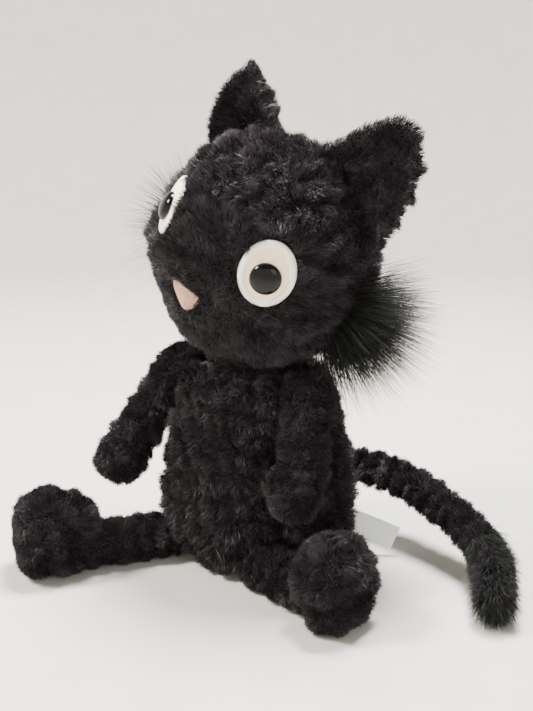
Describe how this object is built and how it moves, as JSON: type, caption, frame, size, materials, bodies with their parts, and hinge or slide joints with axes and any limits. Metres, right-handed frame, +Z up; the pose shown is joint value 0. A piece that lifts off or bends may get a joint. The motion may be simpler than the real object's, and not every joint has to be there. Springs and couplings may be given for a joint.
{
  "type": "plush cat",
  "caption": "Sitting long-tailed plush cat with a round tilted head, felt-backed eyes, cheek tufts and posable stuffed limbs.",
  "frame": {"origin": "centre of the flat seat panel, on the surface the cat sits on", "axes": "+Z up, the cat faces -Y, its own left side is +X"},
  "size_m": [0.2535, 0.1946, 0.2879],
  "materials": {
    "black_plush": "shaggy clumped plush pile",
    "smooth_plush": "short dense plush pile",
    "long_fur": "long fine straight fur",
    "cream_felt": "matte felt",
    "satin_thread": "satin-stitched thread",
    "eye_gloss": "polished",
    "washer_plastic": "moulded",
    "nose_pile": "short soft pile",
    "fibre_filling": "loose fibre",
    "bag_cotton": "plain weave cotton",
    "label_tape": "satin tape"
  },
  "bodies": {
    "torso": {"seat_panel": "black_plush", "belly_panel": "black_plush", "back_panel": "black_plush", "pellet_bag": "bag_cotton", "torso_filling": "fibre_filling"},
    "neck_cloth": {"neck_gather": "black_plush"},
    "neck_core": {"neck_plug": "fibre_filling"},
    "head": {"face_panel": "smooth_plush", "crown_panel": "black_plush", "head_back_panel": "black_plush", "head_filling": "fibre_filling", "left_eye_patch": "cream_felt", "left_eye_rim": "satin_thread", "left_eye": "eye_gloss", "left_eye_washer": "washer_plastic", "right_eye_patch": "cream_felt", "right_eye_rim": "satin_thread", "right_eye": "eye_gloss", "right_eye_washer": "washer_plastic", "nose_pad": "nose_pile", "left_cheek_tuft": "long_fur", "right_cheek_tuft": "long_fur"},
    "left_ear": {"left_ear_lining": "smooth_plush", "left_ear_back": "black_plush"},
    "left_shoulder": {"left_shoulder_plug": "fibre_filling"},
    "left_arm": {"left_arm_cover": "black_plush", "left_arm_filling": "fibre_filling"},
    "left_hip": {"left_hip_plug": "fibre_filling"},
    "left_leg": {"left_leg_cover": "black_plush", "left_leg_filling": "fibre_filling"},
    "left_foot": {"left_foot_cover": "black_plush", "left_foot_filling": "fibre_filling", "left_foot_sole": "smooth_plush"},
    "right_ear": {"right_ear_lining": "smooth_plush", "right_ear_back": "black_plush"},
    "right_shoulder": {"right_shoulder_plug": "fibre_filling"},
    "right_arm": {"right_arm_cover": "black_plush", "right_arm_filling": "fibre_filling"},
    "right_hip": {"right_hip_plug": "fibre_filling"},
    "right_leg": {"right_leg_cover": "black_plush", "right_leg_filling": "fibre_filling"},
    "right_foot": {"right_foot_cover": "black_plush", "right_foot_filling": "fibre_filling", "right_foot_sole": "smooth_plush"},
    "tail_root": {"tail_plug": "fibre_filling"},
    "tail_base": {"tail_base_cover": "black_plush", "tail_base_filling": "fibre_filling"},
    "tail_middle": {"tail_middle_cover": "black_plush", "tail_middle_filling": "fibre_filling"},
    "tail_tip": {"tail_tip_cover": "black_plush", "tail_tip_filling": "fibre_filling"},
    "label": {"sewn_label": "label_tape"}
  },
  "joints": [
    {"name": "neck_turn", "type": "hinge", "parent": "torso", "child": "neck_cloth", "pos_m": [0, 0, 0.1195], "axis": [0, 0, 1], "range_deg": [-50, 50]},
    {"name": "neck_nod", "type": "hinge", "parent": "neck_cloth", "child": "neck_core", "pos_m": [0, 0, 0.1195], "axis": [1, 0, 0], "range_deg": [-12, 14]},
    {"name": "neck_tilt", "type": "hinge", "parent": "neck_core", "child": "head", "pos_m": [0, 0, 0.1195], "axis": [0, 1, 0], "range_deg": [-20, 12]},
    {"name": "left_ear_fold", "type": "hinge", "parent": "head", "child": "left_ear", "pos_m": [0.05703, 0.0093, 0.21298], "axis": [0.5286, -0.037, -0.848], "range_deg": [-20, 30]},
    {"name": "right_ear_fold", "type": "hinge", "parent": "head", "child": "right_ear", "pos_m": [-0.01163, 0.0141, 0.23872], "axis": [0.954, -0.0667, 0.2924], "range_deg": [-20, 30]},
    {"name": "left_shoulder_swing", "type": "hinge", "parent": "torso", "child": "left_shoulder", "pos_m": [0.04625, -0.01498, 0.1075], "axis": [-1, 0, 0], "range_deg": [-6, 95]},
    {"name": "right_shoulder_swing", "type": "hinge", "parent": "torso", "child": "right_shoulder", "pos_m": [-0.04625, -0.01498, 0.1075], "axis": [-1, 0, 0], "range_deg": [-6, 95]},
    {"name": "left_shoulder_lift", "type": "hinge", "parent": "left_shoulder", "child": "left_arm", "pos_m": [0.04625, -0.01498, 0.1075], "axis": [0, -1, 0], "range_deg": [0, 75]},
    {"name": "right_shoulder_lift", "type": "hinge", "parent": "right_shoulder", "child": "right_arm", "pos_m": [-0.04625, -0.01498, 0.1075], "axis": [0, 1, 0], "range_deg": [0, 75]},
    {"name": "left_hip_splay", "type": "hinge", "parent": "torso", "child": "left_hip", "pos_m": [0.03277, -0.03839, 0.013], "axis": [0, 0, 1], "range_deg": [-72, 5]},
    {"name": "right_hip_splay", "type": "hinge", "parent": "torso", "child": "right_hip", "pos_m": [-0.03277, -0.03839, 0.013], "axis": [0, 0, 1], "range_deg": [-40, 28]},
    {"name": "left_hip_raise", "type": "hinge", "parent": "left_hip", "child": "left_leg", "pos_m": [0.03277, -0.03839, 0.013], "axis": [-0.1564, -0.9877, 0], "range_deg": [0, 12]},
    {"name": "right_hip_raise", "type": "hinge", "parent": "right_hip", "child": "right_leg", "pos_m": [-0.03277, -0.03839, 0.013], "axis": [-0.848, 0.5299, 0], "range_deg": [0, 16]},
    {"name": "left_ankle_flex", "type": "hinge", "parent": "left_leg", "child": "left_foot", "pos_m": [0.07821, -0.04558, 0.013], "axis": [-0.1564, -0.9877, 0], "range_deg": [-18, 18]},
    {"name": "right_ankle_flex", "type": "hinge", "parent": "right_leg", "child": "right_foot", "pos_m": [-0.06192, -0.08503, 0.013], "axis": [-0.848, 0.5299, 0], "range_deg": [-18, 18]},
    {"name": "tail_sweep", "type": "hinge", "parent": "torso", "child": "tail_root", "pos_m": [0.00934, 0.05441, 0.043], "axis": [0, 0, 1], "range_deg": [0, 70]},
    {"name": "tail_lift", "type": "hinge", "parent": "tail_root", "child": "tail_base", "pos_m": [0.00934, 0.05441, 0.043], "axis": [0, -1, 0], "range_deg": [0, 40]},
    {"name": "tail_middle_bend", "type": "hinge", "parent": "tail_base", "child": "tail_middle", "pos_m": [0.06734, 0.06241, 0.038], "axis": [0, 0, 1], "range_deg": [-25, 25]},
    {"name": "tail_tip_bend", "type": "hinge", "parent": "tail_middle", "child": "tail_tip", "pos_m": [0.12234, 0.04641, 0.024], "axis": [0, 0, 1], "range_deg": [-25, 25]},
    {"name": "label_flap", "type": "hinge", "parent": "torso", "child": "label", "pos_m": [0.04869, 0.02573, 0.022], "axis": [0, 0, 1], "range_deg": [-40, 40]}
  ]
}
